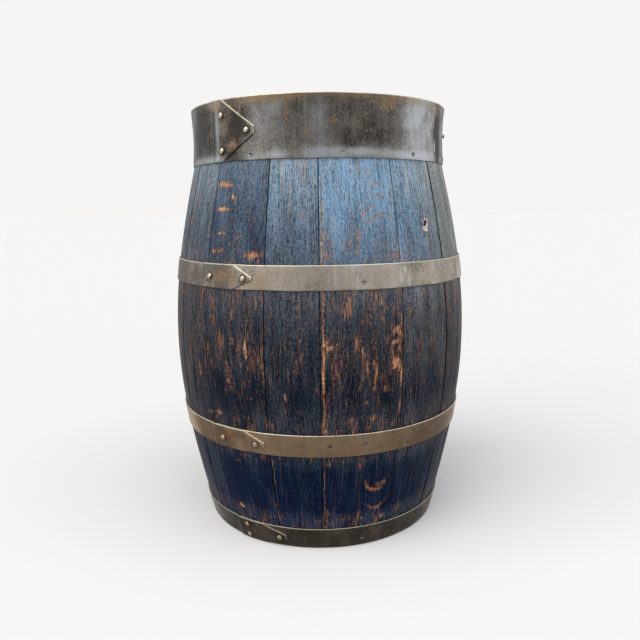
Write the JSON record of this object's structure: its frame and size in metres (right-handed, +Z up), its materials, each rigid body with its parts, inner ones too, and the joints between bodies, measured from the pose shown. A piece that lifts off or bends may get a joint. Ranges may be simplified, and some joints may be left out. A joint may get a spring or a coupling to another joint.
{
  "type": "wine barrel",
  "caption": "Small upright oak cask: bulged tapered staves bound by a wide top band and narrow hoops with riveted laps, boarded heads, a bung and a vent peg.",
  "frame": {"origin": "on the floor, in the middle of the bottom end", "axes": "+Z up along the barrel's axis, front towards -Y, bung at the back towards +Y"},
  "size_m": [0.444, 0.45, 0.608],
  "materials": {
    "stained_oak": "blue-black stained oak with open grain, worn through to bare wood in spots",
    "head_oak": "blue-black stained oak, rubbed",
    "dowel_wood": "bare beech",
    "band_metal": "dark aged bronze-brown patina, satin with smoky reflections",
    "hoop_metal": "aged brass strip, dull, stained",
    "rivet_metal": "rubbed pale brass",
    "nail_metal": "dull brass",
    "bung_wood": "bare hardwood, wine-stained",
    "peg_wood": "bare split oak"
  },
  "bodies": {
    "cask": {"band_stud": "nail_metal", "bottom_head_board_1": "head_oak", "bottom_head_board_2": "head_oak", "bottom_head_board_3": "head_oak", "bottom_head_board_4": "head_oak", "bottom_head_board_5": "head_oak", "bottom_head_dowels": "dowel_wood", "bottom_hoop": "hoop_metal", "bottom_hoop_nails": "nail_metal", "bottom_hoop_rivets": "rivet_metal", "lower_bilge_hoop": "hoop_metal", "lower_bilge_hoop_nails": "nail_metal", "lower_bilge_hoop_rivets": "rivet_metal", "stave_01": "stained_oak", "stave_02": "stained_oak", "stave_03": "stained_oak", "stave_04": "stained_oak", "stave_05": "stained_oak", "stave_06": "stained_oak", "stave_07": "stained_oak", "stave_08": "stained_oak", "stave_09": "stained_oak", "stave_10": "stained_oak", "stave_11": "stained_oak", "stave_12": "stained_oak", "stave_13": "stained_oak", "stave_14": "stained_oak", "stave_15": "stained_oak", "stave_16": "stained_oak", "top_band": "band_metal", "top_band_nails": "nail_metal", "top_band_rivets": "rivet_metal", "top_head_board_1": "head_oak", "top_head_board_2": "head_oak", "top_head_board_3": "head_oak", "top_head_board_4": "head_oak", "top_head_board_5": "head_oak", "top_head_dowels": "dowel_wood", "upper_bilge_hoop": "hoop_metal", "upper_bilge_hoop_nails": "nail_metal", "upper_bilge_hoop_rivets": "rivet_metal"},
    "bung": {"bung": "bung_wood"},
    "vent_peg": {"vent_peg": "peg_wood"}
  },
  "joints": [
    {"name": "bung_pull", "type": "slide", "parent": "cask", "child": "bung", "axis": [0, 1, 0], "range_m": [0, 0.1]},
    {"name": "peg_pull", "type": "slide", "parent": "cask", "child": "vent_peg", "axis": [0.6751, -0.7139, 0.186], "range_m": [0, 0.05]}
  ]
}
